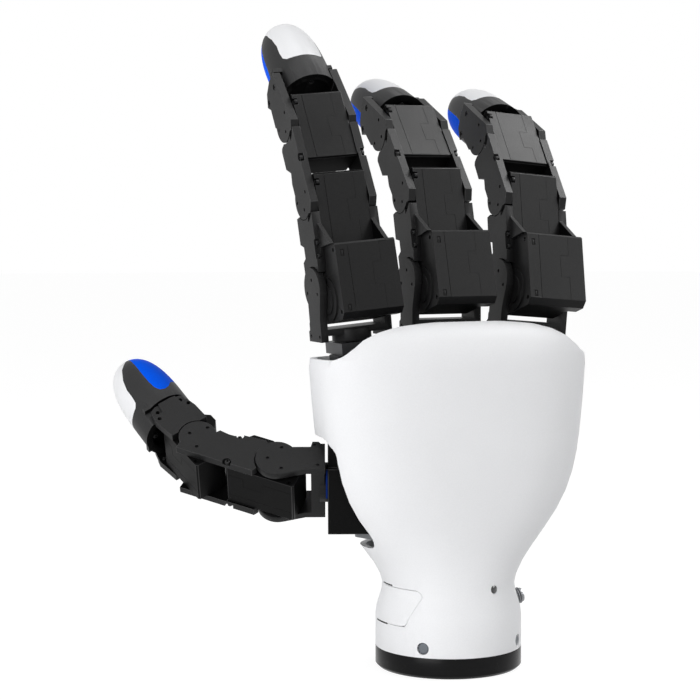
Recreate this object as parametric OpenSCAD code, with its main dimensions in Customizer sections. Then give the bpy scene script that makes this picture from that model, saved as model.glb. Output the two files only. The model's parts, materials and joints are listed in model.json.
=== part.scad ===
// Dexterous robot hand, right, four digits with sixteen joints.
// Z runs from the wrist flange to the fingertips, the back of the hand
// faces -Y and the thumb leaves towards -X.

/* [Wrist] */
// Diameter of the flange ring
ring_d = 63; // [60:0.5:68]
// Height of the flange ring
ring_h = 8.8; // [6:0.2:12]
// Pitch circle of the flange bolts
flange_pcd = 50; // [50:50:50]
// Flange bolts
flange_bolts = 4; // [4:1:4]
// Clearance hole of a flange bolt
bolt_hole_d = 6.6; // [6.4:0.1:7]
// Centring recess under the ring
pilot_d = 31.5; // [31.5:0.1:31.6]
// Narrowest diameter of the neck
neck_d = 57; // [54:0.5:60]

/* [Palm] */
// Width of the palm across the knuckles
palm_w = 124.4; // [118:0.2:130]
// Top of the rounded back shell
palm_top = 149.5; // [146:0.5:151]
// Open rim the finger motors rise from
rim_z = 134; // [130:1:138]
// Depth of the back of the palm from the wrist axis
back_depth = 29.5; // [26:0.5:32]
// Depth of the front of the palm from the wrist axis
front_depth = 19; // [17:0.5:24]
// Wall of both palm shells
wall = 2.6; // [2:0.1:3.5]

/* [Fingers] */
// Distance between neighbouring finger planes
pitch = 43.5; // [42:0.1:46]
// Fan angle of the outer fingers
fan = 5; // [3:0.5:6]
// Height of the middle knuckle axis
knuckle_z = 166.5; // [165:0.5:170]
// Knuckle axes in front of the wrist axis
knuckle_y = 7.6; // [5:0.1:10]
// Drop of the outer knuckles
outer_drop = 2.24; // [0:0.01:4]
// Knuckle axis to second axis
proximal_len = 37.5; // [36:0.1:42]
// Second axis to third axis
middle_len = 36; // [35:0.1:40]
// Third axis to fingertip
tip_len = 58; // [54:0.5:62]
// Width of an actuator case
case_w = 22.7; // [21:0.1:24]
// Depth of the case behind its axis
case_back = 8.44; // [8:0.02:9]
// Outer distance over the fork plates
fork_w = 30.1; // [29:0.1:31]
// Outer distance over the yoke arms
yoke_w = 32.4; // [32:0.1:33]
// Radius of the fingertip
tip_r = 13.2; // [12.4:0.1:13.4]
// Lean of the fingertip towards the gripping side
tip_lean = 4.5; // [2:0.5:6]

/* [Thumb] */
// Thumb knuckle on the long axis of the thumb
thumb_pos = [-72.9, 15, 81];
// Rest direction of the thumb about Z
thumb_yaw = -21.8; // [-30:0.1:-10]
// Rest roll of the thumb about its long axis
thumb_roll = -43.2; // [-60:0.1:-30]
// Swing axis behind the thumb knuckle
swing_back = 38; // [36:0.5:40]

/* [Rest pose] */
// Index finger flexion at its three axes
index_flex = [9, 15.6, 15.9];
// Middle finger flexion at its three axes
middle_flex = [15.5, 25.3, 25];
// Ring finger flexion at its three axes
ring_flex = [16.6, 24.2, 25.8];
// Thumb flexion at its two axes
thumb_flex = [21.8, 31.3];

/* [Hidden] */

$fn = 48;
eps = 0.01;
gap = 0.3;                          // between pieces that move apart
fit = 0.05;                         // radial running fit of a pivot
ring_r = ring_d / 2;
neck_r = neck_d / 2;
crease_z = 22;                      // where the neck leaves the flange
waist_z = 36;                       // narrowest height of the neck
seam_y = 9;                         // joint between the palm shells
lug_t = 2.4;                         // lugs of the thumb swing pins
lip_y = -18;                        // front edge of the back shell's lip
spigot_r = ring_r - wall - gap;
spigot_z = 17;
screw_z = 12.7;
screw_r = 2.45;

flex = [index_flex, middle_flex, ring_flex];
case_x = case_w / 2;
plate_x = fork_w / 2;
plate_in = case_x + gap;
arm_x = yoke_w / 2;
arm_t = 3.2;
arm_in = arm_x - arm_t;
disc_r = 8.8;                       // pivot end of a yoke arm
pivot_r = 8;                        // pivot end of a fork plate
stub_r = 3.4;                       // pivot stub on a case
stub_end = plate_x - 1.55;
case_front = 8.6;
case_far = 10;                      // case beyond its own axis
case_near = 21;                     // case before its own axis
knuckle_back = 20.2;
knuckle_half = 15.4;
yoke_drop = 22.5;                   // knuckle axis to the yoke's foot
spindle_r = 3.45;
motor_top = yoke_drop + 1.1;
motor_h = 26;
skirt_z = 15.2;                     // open end of a fingertip
tip_x = 2.2;                        // fingertip beside the fork's middle
tip_y = 1.1;
skin = 2.2;                         // cap and pad over the tip core
swing_r = 3.2;
horn_r = 8.4;

// ---------------------------------------------------------------- places

module at_finger(i, link) {
    translate([(i - 1) * pitch, knuckle_y,
               knuckle_z - (i == 1 ? 0 : outer_drop)])
    rotate([0, (i - 1) * fan, 0])
    if (link == 0) children();
    else rotate([-flex[i][0], 0, 0])
    if (link == 1) children();
    else translate([0, 0, proximal_len]) rotate([-flex[i][1], 0, 0])
    if (link == 2) children();
    else translate([0, 0, middle_len]) rotate([-flex[i][2], 0, 0])
    children();
}

// link -1 is the swing case, 0 the yoke, 2 the middle link, 3 the tip
module at_thumb(link) {
    translate(thumb_pos) rotate([0, 0, thumb_yaw]) rotate([0, -90, 0])
    if (link == -1) children();
    else rotate([0, 0, thumb_roll])
    if (link == 0) children();
    else rotate([-thumb_flex[0], 0, 0])
    if (link == 2) children();
    else translate([0, 0, middle_len]) rotate([-thumb_flex[1], 0, 0])
    children();
}

// a profile drawn as [y, z] and carried along X
module along_x(x0, x1) {
    translate([x0, 0, 0]) rotate([90, 0, 90]) linear_extrude(x1 - x0)
    children();
}

module both_sides(x0, x1) {
    along_x(x0, x1) children();
    along_x(-x1, -x0) children();
}

module x_rod(r, x0, x1, y = 0, z = 0) {
    translate([x0, y, z]) rotate([0, 90, 0]) cylinder(r = r, h = x1 - x0);
}

// ----------------------------------------------------------- palm surface

function palm_half(z) = z <= crease_z ? ring_r
    : z < waist_z ? neck_r + (ring_r - neck_r)
        * (1 + cos(180 * (z - crease_z) / (waist_z - crease_z))) / 2
    : neck_r + (palm_w / 2 - neck_r - 6.7)
        * (1 - exp(-pow((z - waist_z) / 29, 1.7)))
        + 6.7 * (z - waist_z) / 89;

// 0 below the neck, 1 once the palm is fully spread
function spread(z) = z <= waist_z ? 0 : z >= 84 ? 1
    : (1 - cos(180 * (z - waist_z) / (84 - waist_z))) / 2;

// 0 below the shoulders, 1 at the very top
function crown(z) = z <= 130 ? 0
    : 1 - sqrt(max(0, 1 - pow((z - 130) / (palm_top - 130), 2)));

function palm_point(z, t, inset) =
    let (top = palm_top - inset,
         zz = min(z, palm_top),
         half = palm_half(zz) - 32 * crown(zz) - inset,
         back = (z <= waist_z ? palm_half(zz)
             : neck_r + (back_depth - neck_r) * spread(zz)
               - 1.2 * sin(180 * min(1, (zz - waist_z) / 34)))
             - 14 * crown(zz) - inset,
         front = (z <= waist_z ? palm_half(zz)
             : neck_r + (front_depth - neck_r) * spread(zz)) - inset,
         c = cos(t), s = sin(t),
         n = 2 + (s < 0 ? 0.6 : 0.9) * spread(zz))
    [half * sign(c) * pow(abs(c), 2 / n),
     (s < 0 ? back : front) * sign(s) * pow(abs(s), 2 / n),
     min(z, top)];

palm_z = concat([ring_h, crease_z],
    [for (k = [1:4]) crease_z + (waist_z - crease_z) * k / 4],
    [for (k = [1:9]) waist_z + (100 - waist_z) * pow(k / 9, 1.25)],
    [115, 130],
    [for (k = [1:7]) 130 + (palm_top - 130) * sin(90 * k / 7)]);

module palm_form(inset) {
    steps = 56;
    n = len(palm_z);
    polyhedron(
        points = [for (z = palm_z) for (k = [0:steps - 1])
            palm_point(inset > 0 && z == ring_h ? z - 1 : z,
                       360 * k / steps, inset)],
        faces = concat(
            [[for (k = [0:steps - 1]) k]],
            [for (j = [0:n - 2]) for (k = [0:steps - 1])
                let (a = j * steps + k, b = j * steps + (k + 1) % steps)
                [a, a + steps, b + steps, b]],
            [[for (k = [steps - 1:-1:0]) (n - 1) * steps + k]]));
}

module hatch_outline(d) {
    // [y, z] with rounded corners, d shrinks it
    r = 3;
    w0 = 16.7 - d;
    w1 = 19.5 - d;
    z0 = 20.8 + d;
    z1 = 36.4 - d;
    polygon(concat(
        [for (a = [-90:15:0]) [w0 - r + r * cos(a), z0 + r + r * sin(a)]],
        [for (a = [0:15:90]) [w1 - r + r * cos(a), z1 - r + r * sin(a)]],
        [for (a = [90:15:180]) [-w1 + r + r * cos(a), z1 - r + r * sin(a)]],
        [for (a = [180:15:270]) [-w0 + r + r * cos(a), z0 + r + r * sin(a)]]));
}

module thumb_window() {
    // side view of the window: the thumb passes behind the back shell's edge
    r = 7;
    y0 = -11.8;
    z0 = 53.5;
    z1 = 100.5;
    along_x(-90, -13) polygon(concat(
        [[60, z0], [60, z1 + 4]],
        [for (a = [90:15:180]) [y0 + r + 4 + (r + 4) * cos(a),
                                z1 - r + (r + (a < 135 ? 1 : 0)) * sin(a)]],
        [for (a = [180:15:270]) [y0 + r + r * cos(a), z0 + r + r * sin(a)]]));
}

module palm_cutouts() {
    thumb_window();
    along_x(-60, -20) hatch_outline(0);
    // open top in front of the lip, with a filleted corner
    translate([0, 0, rim_z]) along_x(-90, 90)
        difference() {
            translate([lip_y, 0]) square([80, 40]);
            translate([lip_y, 0]) difference() {
                square([6, 6]);
                translate([6, 6]) circle(r = 6);
            }
        }
    for (a = [45:90:315]) rotate([0, 0, a])
        translate([24, 0, screw_z]) rotate([0, 90, 0])
        cylinder(r = screw_r + 0.15, h = 12);
    rotate([0, 0, light_az]) translate([20, 0, light_z])
        rotate([0, 90, 0]) cylinder(r = light_r + 0.1, h = 14);
    translate([0, 0, plug_z]) rotate([0, 90 + plug_tilt, 0])
        cylinder(r = plug_r + 0.9, h = 60);
}

module palm_shell() {
    difference() {
        palm_form(0);
        palm_form(wall);
        palm_cutouts();
    }
}

// --------------------------------------------------------------- palm nodes

light_az = -90 + 17.5;
light_z = 36.3;
light_r = 1.7;
plug_z = 21;
plug_tilt = -10;
plug_r = 3.6;

module base_ring() {
    color("#17181a") difference() {
        rotate_extrude($fn = 96) polygon([[10, 0], [ring_r - 1.2, 0],
            [ring_r, 1.2], [ring_r, ring_h], [spigot_r, ring_h],
            [spigot_r, spigot_z - 1], [spigot_r - 1, spigot_z],
            [20, spigot_z], [20, ring_h], [10, ring_h]]);
        translate([0, 0, -1]) cylinder(d = pilot_d, h = 4, $fn = 96);
        for (k = [0:flange_bolts - 1])
            rotate([0, 0, 360 * k / flange_bolts])
            translate([flange_pcd / 2, 0, -1])
            cylinder(d = bolt_hole_d, h = 20);
        for (a = [0:90:270]) rotate([0, 0, a + 45])
            translate([19, 0, screw_z]) rotate([0, 90, 0])
            cylinder(r = screw_r, h = 14);
    }
}

module clamp_pins() {
    color("#6b6e73") for (a = [0:90:270]) rotate([0, 0, a + 45])
        translate([ring_r - 5.6, 0, screw_z]) rotate([0, 90, 0])
        rotate_extrude() polygon([[0, 0], [screw_r, 0],
            [screw_r, 4.7], [screw_r - 0.4, 5.1], [0, 5.1]]);
}

module back_shell() {
    color("#f3f3f1") difference() {
        palm_shell();
        translate([-100, seam_y, 0]) cube([200, 60, 200]);
    }
}

module front_shell() {
    color("#f3f3f1") difference() {
        palm_shell();
        translate([-100, seam_y - 60, 0]) cube([200, 60, 200]);
        palm_panel_outline(0);
    }
}

module palm_panel_outline(d) {
    // service panel of the palm, carried along Y
    x0 = -6 + d;
    x1 = 46 - d;
    z0 = 66 + d;
    z1 = 122 - d;
    c = 5;
    translate([0, 60, 0]) rotate([90, 0, 0]) linear_extrude(48)
        polygon([[x0 + c, z0], [x1 - c - 6, z0], [x1, z0 + c + 14],
                 [x1, z1 - c], [x1 - c, z1], [x0 + c, z1],
                 [x0, z1 - c], [x0, z0 + c]]);
}

module palm_panel() {
    color("#e4e4e2") intersection() {
        difference() {
            palm_form(0.6);
            palm_form(wall);
        }
        palm_panel_outline(0.3);
    }
}

module wrist_hatch() {
    color("#f3f3f1") intersection() {
        difference() {
            palm_form(0);
            palm_form(wall);
        }
        along_x(-60, -20) hatch_outline(0.25);
    }
}

module status_light() {
    color("#101114") rotate([0, 0, light_az])
        translate([neck_r - 3, 0, light_z]) rotate([0, 90, 0])
        rotate_extrude() polygon([[0, 0], [light_r, 0], [light_r, 2.9],
            [light_r - 0.4, 3.3], [0, 3.4]]);
}

module cable_connector() {
    thread = 1;                     // pitch of the coupling thread
    color("#9a9ca0") translate([0, 0, plug_z])
        rotate([0, 90 + plug_tilt, 0]) difference() {
            union() {
                translate([0, 0, 22]) cylinder(r = plug_r + 2, h = 3);
                translate([0, 0, 22]) cylinder(r = plug_r - 0.5, h = 14);
                for (k = [0:4]) translate([0, 0, 30.2 + k * thread])
                    rotate_extrude() polygon([[2, 0], [plug_r - 0.5, 0],
                        [plug_r, 0.4], [plug_r, 0.6],
                        [plug_r - 0.5, thread], [2, thread]]);
            }
            translate([0, 0, 31]) cylinder(r = plug_r - 1.3, h = 8);
        }
}

module palm_chassis() {
    color("#5a5c60") difference() {
        union() {
            // neck tube on the flange spigot
            translate([0, 0, spigot_z])
                cylinder(r = neck_r - wall - 1.9, h = 8);
            // spine plate behind the motors
            translate([0, -9, 0]) rotate([90, 0, 0]) linear_extrude(4)
                polygon([[-18, spigot_z + 1], [18, spigot_z + 1],
                    [18, 44], [35, 62], [46, 85], [50, 105], [50, 126],
                    [-50, 126], [-50, 105], [-39.5, 102], [-39.5, 85], [-32, 62],
                    [-18, 44]]);
            // one saddle for each finger motor
            for (i = [0:2]) at_finger(i, 0)
                translate([-9, -20.6 + eps, -motor_top - 24])
                cube([18, 11.6 - 2 * eps, 17]);
            // two lugs for the thumb swing pins
            for (z = [swing_z0 - lug_t - gap, swing_z1 + gap])
                translate([0, 0, z]) linear_extrude(lug_t) union() {
                    translate(swing_xy) circle(r = 5.2);
                    polygon([swing_xy + [-5.2, 0], swing_xy + [5.2, 0],
                             swing_xy + [9, -10.5], swing_xy + [-2, -10.5]]);
                }
        }
        translate([0, 0, spigot_z - 1])
            cylinder(r = neck_r - wall - 4.4, h = 9.5);
        // clear of the thumb swing case
        translate([-60, -20, swing_z0]) cube([43, 30, swing_z1 - swing_z0]);
        translate([swing_xy[0], swing_xy[1], 0])
            cylinder(r = swing_r + fit, h = 120);
        // passage of the cable connector
        translate([0, 0, plug_z]) rotate([0, 90 + plug_tilt, 0])
            cylinder(r = plug_r + 2.5, h = 40);
        // lightening windows
        for (x = [4, 30]) translate([x, -20, 66]) cube([18, 20, 30]);
    }
}

module control_board() {
    color("#1f5f3a") {
        translate([-8, -8.9, 58]) cube([40, 1.6, 50]);
        translate([0, -7.3, 66]) cube([12, 2.4, 12]);
        translate([18, -7.3, 84]) cube([9, 5, 16]);
    }
}

module base_motor(i) {
    color("#2c2d30") at_finger(i, 0) difference() {
        union() {
            // flange above the rim of the shell
            translate([-8.5, -9, -motor_top - 5]) cube([20.5, 18.6, 5]);
            translate([0, 0, -motor_top - motor_h])
                linear_extrude(motor_h - 5 + eps)
                polygon([[-7.5, 4.2], [7.5, 4.2], [10.5, 1.2], [10.5, -9],
                         [-10.5, -9], [-10.5, 1.2]]);
        }
        translate([0, 0, -motor_top - 12])
            cylinder(r = spindle_r + fit, h = 20);
        // screw pockets of the flange
        for (x = [-6.6, 9.8]) for (y = [-6.8, 7.4])
            translate([x, y, -motor_top - 1.5]) cylinder(r = 1.2, h = 3);
    }
}

// ------------------------------------------------------------ finger nodes

module yoke(ear = 0, foot = yoke_drop,
            holes = [[5.2, -20.2], [-4.4, -20.2]], web = 2.7) {
    color("#3a3b3e") {
        difference() {
            union() {
                both_sides(arm_in, arm_x) {
                    circle(r = disc_r);
                    polygon([[-8.6, -2], [8.6, -1], [5.9, -6.5],
                        [5.9, -14.3], [6.4 + ear, -15], [6.4 + ear, -17.6],
                        [7.6, -18.5], [7.6, -foot],
                        [-6.2, -foot], [-6.2, -12]]);
                }
                translate([-arm_in - eps, -6.2, -20])
                    cube([2 * arm_in + 2 * eps, 13.8, web]);
                translate([0, 0, -yoke_drop - 0.6])
                    cylinder(r = horn_r, h = yoke_drop + 0.6 - 18);
                translate([0, 0, -yoke_drop - 9])
                    cylinder(r = spindle_r, h = 10);
            }
            x_rod(stub_r + fit, -arm_x + 0.9, arm_x - 0.9);
            // screws of the pivot flange and of the foot
            for (s = [-1, 1])
                for (p = concat([[0, 3.7], [5.6, -2.1], [-5.6, -2.1]], holes))
                x_rod(0.75, s * arm_x - 0.7, s * arm_x + 0.7, p[0], p[1]);
        }
    }
}

module stubs(x1) {
    x_rod(stub_r, -x1, x1);
}

module knuckle_case() {
    color("#2b2c2e") {
        difference() {
            union() {
                along_x(-case_x, case_x) polygon([
                    [-knuckle_back, 15.4], [-knuckle_back + 0.8, 16.2],
                    [7.4, 16.2], [case_front, 15], [case_front, -9.5],
                    [2, -knuckle_half], [-17.2, -knuckle_half],
                    [-knuckle_back, -12.8]]);
                // drive housing that widens the back of the case
                along_x(case_x - eps, case_x + 4.25) polygon([
                    [-knuckle_back, 15.4], [-knuckle_back + 0.8, 16.2],
                    [-10.4, 16.2], [-9.6, 15.4], [-9.6, -13.2],
                    [-11, -knuckle_half], [-17.2, -knuckle_half],
                    [-knuckle_back, -12.8]]);
                stubs(arm_x - 1.2);
                // gear cover and its round boss
                x_rod(9.2, -case_x - 0.7, -case_x + eps, -5.8, -5.7);
                x_rod(6.2, -case_x - 1.25, -case_x + eps, -5.8, -5.7);
            }
            // connector windows beside the edge of the back
            for (z = [-10.9, 12]) translate([-9.3, -knuckle_back - 1, z - 1.4])
                cube([1.6, 1.5, 2.8]);
            for (p = [[-17.6, 13.6], [-17.6, -12.2]])
                x_rod(0.9, -case_x - 1, -case_x + 2, p[0], p[1]);
        }
    }
}

module proximal_frame() {
    color("#3a3b3e") {
        difference() {
            both_sides(case_x, plate_x) difference() {
                polygon([[-8.6, 16.2], [-8.6, proximal_len - 4],
                    [8.8, proximal_len - 6.6], [9, 19.8], [5.4, 18.3],
                    [5.4, 13.5], [8.4, 12], [8.4, 6], [-7, 6]]);
                circle(r = disc_r + 0.5);
                translate([0, proximal_len]) circle(r = pivot_r + 0.5);
                intersection() {
                    translate([0, proximal_len]) circle(r = 10.6);
                    translate([-14, 20]) square([10.2, 20]);
                }
            }
            // long blind notch in the edge of each plate
            both_sides(plate_x - 1.7, plate_x + 1) {
                translate([-8.3, 12.6]) circle(r = 1.3);
                translate([-8.3, 18.6]) circle(r = 1.3);
                translate([-9.6, 12.6]) square([2.6, 6]);
            }
        }
        // gussets from the knuckle case up to the proximal case
        both_sides(case_x, case_x + 1.8) polygon([[-8.6, 26.4],
            [-19.6, 16.2], [-8.6, 16.2]]);
    }
}

// actuator case about its own axis, reaching lo before it and hi beyond
module actuator_case(lo, hi) {
    color("#2b2c2e") {
        difference() {
            union() {
                along_x(-case_x, case_x) polygon([
                    [-case_back, -lo + 0.8], [-case_back + 0.8, -lo],
                    [case_front - 2, -lo], [case_front, -lo + 2],
                    [case_front, hi - 3], [case_front - 3, hi],
                    [-case_back + 0.8, hi], [-case_back, hi - 0.8]]);
                // rounded motor bulge on the gripping side
                palm_side_bulge(lo, hi);
                stubs(stub_end);
            }
            edge_notch(6.2);
        }
    }
}

// notch with a screw in it, and a hole beside it, at a corner of a case
module edge_notch(z) {
    translate([-case_x - 0.6, -case_back - 0.2, z])
        rotate([0, 90, 0]) cylinder(r = 1.5, h = 2.6);
    x_rod(0.8, -case_x - 1, 1 - case_x, -5.4, z + 1.9);
}

module palm_side_bulge(lo, hi) {
    far = hi > lo ? hi - 1 : -2.5;
    near = hi > lo ? 4 : -lo + 1.5;
    along_x(-8, 8) polygon([[case_front - 1, near],
        [case_front + 1.6, near], [12.6, near + 3.4], [12.6, far - 3.4],
        [case_front + 1.6, far], [case_front - 1, far]]);
}

module flange_screws() {
    for (p = [[-5.6, 1.5], [5.5, 1.4], [-0.1, -4.3]])
        translate(p) circle(r = 0.75, $fn = 16);
}

// fork plate that turns on the case below and carries the next case
module middle_plate(outer) {
    difference() {
        union() {
            circle(r = pivot_r);
            polygon([[-9, -4.6], [-9, middle_len - 4.4],
                [7.4, middle_len - 8], [8.4, middle_len - 9.2],
                [8.6, 18.5], [4.4, 14.8], [6.2, 10.4], [6.2, 4],
                [0, -6], [-5.4, -8.2]]);
        }
        translate([0, middle_len]) circle(r = pivot_r + 0.5);
        intersection() {
            translate([0, middle_len]) circle(r = 10.6);
            translate([-14, middle_len - 20]) square([10.2, 20]);
        }
        if (outer) flange_screws();
    }
}

// blind notch with a screw in it, cut from outside into a plate's edge
module plate_notch(y, z, r) {
    for (s = [-1, 1]) translate([s * plate_x - 2, y, z])
        rotate([0, 90, 0]) cylinder(r = r, h = 4);
}

module middle_fork() {
    color("#3a3b3e") difference() {
        union() {
            both_sides(plate_in, plate_x - 0.9) middle_plate(false);
            both_sides(plate_x - 0.9 - eps, plate_x) middle_plate(true);
            both_sides(case_x, plate_in + eps) intersection() {
                middle_plate(false);
                translate([-20, 16]) square([40, 30]);
            }
        }
        x_rod(stub_r + fit, -stub_end - 0.3, stub_end + 0.3);
        plate_notch(-8.9, 16.1, 1.8);
    }
}

module distal_plate(outer) {
    difference() {
        union() {
            circle(r = pivot_r);
            polygon([[-8.5, -5.2], [-8.5, 21.9], [-2.6, 22.2], [3.4, 20.8],
                [7.5, 16.4], [5.5, 13.3], [7.8, 5], [0, -6], [-5.4, -8.2]]);
        }
        if (outer) {
            flange_screws();
            for (p = [[-5.4, 16.4], [4.6, 16.4]])
                translate(p) circle(r = 1.3, $fn = 16);
        }
    }
}

module distal_fork() {
    color("#3a3b3e") difference() {
        union() {
            both_sides(plate_in, plate_x - 0.9) distal_plate(false);
            both_sides(plate_x - 0.9 - eps, plate_x) distal_plate(true);
            both_sides(case_x + 0.1, plate_in + eps) intersection() {
                distal_plate(false);
                translate([-20, 14.5]) square([40, 30]);
            }
        }
        x_rod(stub_r + fit, -stub_end - 0.3, stub_end + 0.3);
    }
}

// --------------------------------------------------------------- fingertip

// places the revolved tip beside the fork, leaning to the gripping side
module at_tip() {
    translate([tip_x, tip_y, skirt_z]) rotate([-tip_lean, 0, 0])
        translate([0, 0, -skirt_z]) children();
}

// superelliptic dome on a straight skirt
module tip_form(inset) {
    shoulder = 27.5;
    r = tip_r - inset;
    rise = tip_len - shoulder - inset;
    n = 2.7;
    rotate_extrude($fn = 64) polygon(concat([[0, skirt_z], [r, skirt_z]],
        [for (k = [0:15]) let (u = sin(90 * k / 16))
            [r * pow(1 - pow(u, n), 1 / n), shoulder + rise * u]],
        [[0, shoulder + rise]]));
}

module nail_outline() {
    polygon([[-30, 28.2], [-12.6, 28.2], [-10.6, 28.8], [-9.6, 30.4],
        [-9.3, 34], [-9.2, 39], [-8, 44.6], [-5.4, 50.4], [-2.4, 53.8],
        [-0.6, 56], [-0.2, 62], [-30, 62]]);
}

module pad_outline() {
    polygon([[30, 33.6], [11, 33.6], [8.6, 32.2], [6.4, 29.4], [4, 28],
        [1.6, 28.4], [0.2, 30.6], [-0.4, 35], [-0.4, 42], [0.1, 50],
        [0.5, 54], [0.8, 62], [30, 62]]);
}

module nail_cap() {
    color("#f3f3f1") at_tip() intersection() {
        difference() {
            tip_form(0);
            tip_form(skin);
        }
        along_x(-20, 20) nail_outline();
    }
}

module tip_pad() {
    color("#0a5cf0") at_tip() intersection() {
        difference() {
            tip_form(0);
            tip_form(skin);
        }
        along_x(-20, 20) pad_outline();
    }
}

module tip_shell(seat_top) {
    color("#333437") difference() {
        union() {
            at_tip() difference() {
                tip_form(0);
                along_x(-20, 20) nail_outline();
                along_x(-20, 20) pad_outline();
            }
            at_tip() tip_form(skin);
            // lugs over the ends of the fork plates
            for (s = [-1, 1]) translate([s * 11.6 - 2, -7.8, seat_top])
                cube([4, 4.2, 2]);
        }
        // open skirt with a screw boss inside
        at_tip() translate([0, 0, skirt_z - 1]) difference() {
            cylinder(r = 10.1, h = 5);
            translate([0, -8.4, 2.8]) cylinder(r = 2.6, h = 4);
        }
        // flats that seat the fork plates
        for (s = [-1, 1]) translate([s * (case_x + 0.1 + 5) - 5, -18, 0])
            cube([10, 36, seat_top]);
    }
}

// ------------------------------------------------------------- thumb nodes

swing_z0 = thumb_pos[2] - 20.5;
swing_z1 = thumb_pos[2] + 7;
thumb_tip = [0, -2, 3];              // the thumb's tip sits further out
swing_face = 21.4;                  // output face behind the knuckle
thumb_foot = swing_face - 0.8 - gap; // clear of the seal plate
thumb_out = [-cos(thumb_yaw), -sin(thumb_yaw)];
swing_xy = [thumb_pos[0], thumb_pos[1]] - swing_back * thumb_out;

module thumb_swing_case() {
    color("#2b2c2e") {
        difference() {
            union() {
                // plan with a rounded back that clears the shell in a swing
                translate([swing_xy[0], swing_xy[1], swing_z0])
                    rotate([0, 0, 180 + thumb_yaw])
                    linear_extrude(swing_z1 - swing_z0)
                    polygon(concat([[swing_back - swing_face, -12],
                        [swing_back - swing_face, 12]],
                        [for (a = [90:9:270]) 12 * [cos(a), sin(a)]]));
                // gear head above the swing pin
                translate([swing_xy[0], swing_xy[1], swing_z1 - eps])
                    rotate([0, 0, 180 + thumb_yaw])
                    translate([8, -8, 0])
                    cube([swing_back - swing_face - 8, 16, 10.5]);
            }
            at_thumb(-1) translate([0, 0, -motor_top - 12])
                cylinder(r = spindle_r + fit, h = 20);
            at_thumb(-1) translate([0, 0, -motor_top])
                cylinder(r = horn_r + 0.4, h = 6);
        }
        translate([swing_xy[0], swing_xy[1], swing_z0 - lug_t - gap])
            cylinder(r = swing_r, h = lug_t + gap + eps);
        translate([swing_xy[0], swing_xy[1], swing_z1 - eps])
            cylinder(r = swing_r, h = lug_t + gap + eps);
    }
}

// seal plate on the output face of the swing case
module thumb_motor_seal() {
    color("#0a5cf0") at_thumb(-1) translate([0, 0, -swing_face])
        linear_extrude(0.8) difference() {
            polygon([[-5.5, -11.4], [6.4, -11.4], [6.4, 11.4],
                     [-5.5, 11.4]]);
            circle(r = horn_r + 0.4);
        }
}

module thumb_lower_case() {
    thumb_case(20);
}

module thumb_upper_case() {
    thumb_case(14.5);
}

module thumb_case(hi) {
    color("#2b2c2e") {
        difference() {
            union() {
                along_x(-case_x, case_x) polygon([
                    [-case_back, -10.2], [-case_back + 0.8, -11],
                    [case_front - 3, -11], [case_front, -8],
                    [case_front, hi - 2], [case_front - 2, hi],
                    [-case_back + 0.8, hi], [-case_back, hi - 0.8]]);
                along_x(-9, 9) polygon([[case_front - 1, 3],
                    [case_front + 2, 3], [13.8, 7], [13.8, hi - 3.8],
                    [case_front + 1.6, hi - 0.5], [case_front - 1, hi - 0.5]]);
                stubs(hi > 18 ? arm_x - 1.2 : stub_end);
            }
            for (p = [[-7, -8.6], [-7, hi - 3.2]])
                x_rod(0.9, case_x - 1, case_x + 1, p[0], p[1]);
        }
    }
}

module thumb_plate(outer) {
    difference() {
        union() {
            polygon([[-9.2, 7.3], [-9.2, middle_len + 5.9],
                [-3.5, middle_len + 5.3], [4, middle_len - 6],
                [6.2, middle_len - 7.6], [5.5, 24], [5.6, 21.3],
                [7.3, 18.4], [8, 8], [6, 6], [-7, 6]]);
            translate([0, middle_len]) circle(r = pivot_r);
        }
        circle(r = disc_r + 0.5);
        if (outer) translate([0, middle_len]) {
            for (p = [[0, 3.7], [5.6, -2.1], [-5.6, -2.1]])
                translate(p) circle(r = 0.75, $fn = 16);
        }
    }
}

module thumb_middle_fork() {
    color("#3a3b3e") difference() {
        union() {
            both_sides(plate_in, plate_x - 0.9) thumb_plate(false);
            both_sides(plate_x - 0.9 - eps, plate_x) thumb_plate(true);
            both_sides(case_x, plate_in + eps) intersection() {
                thumb_plate(false);
                translate([-20, 0]) square([40, 19.8]);
            }
        }
        translate([0, 0, middle_len])
            x_rod(stub_r + fit, -stub_end - 0.3, stub_end + 0.3);
        plate_notch(-8.7, 18.9, 1.9);
        plate_notch(6.4, 19.2, 1.6);
    }
}

module thumb_distal_fork() {
    color("#3a3b3e") difference() {
        both_sides(case_x + 0.1, plate_x) difference() {
            polygon([[-8.6, 6.5], [-9.8, 17.2], [-8.1, 23.6], [-5.6, 24.8],
                [3, 24.8], [7.5, 24], [8.1, 19.8], [9, 15], [9, 6.5]]);
            circle(r = pivot_r + 0.5);
            for (p = [[5.8, 21.8], [7.3, 17.6], [-5.9, 21.6], [-7.6, 17.5]])
                translate(p) circle(r = 0.9, $fn = 16);
        }
        // pockets at the outer corners
        both_sides(plate_x - 1, plate_x + 1) {
            polygon([[4.6, 26], [5.2, 20.2], [10, 20.2], [10, 26]]);
            polygon([[-3.2, 26], [-4.7, 19.9], [-10, 19.9], [-10, 26]]);
        }
    }
}

// ------------------------------------------------------------------- nodes

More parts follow.
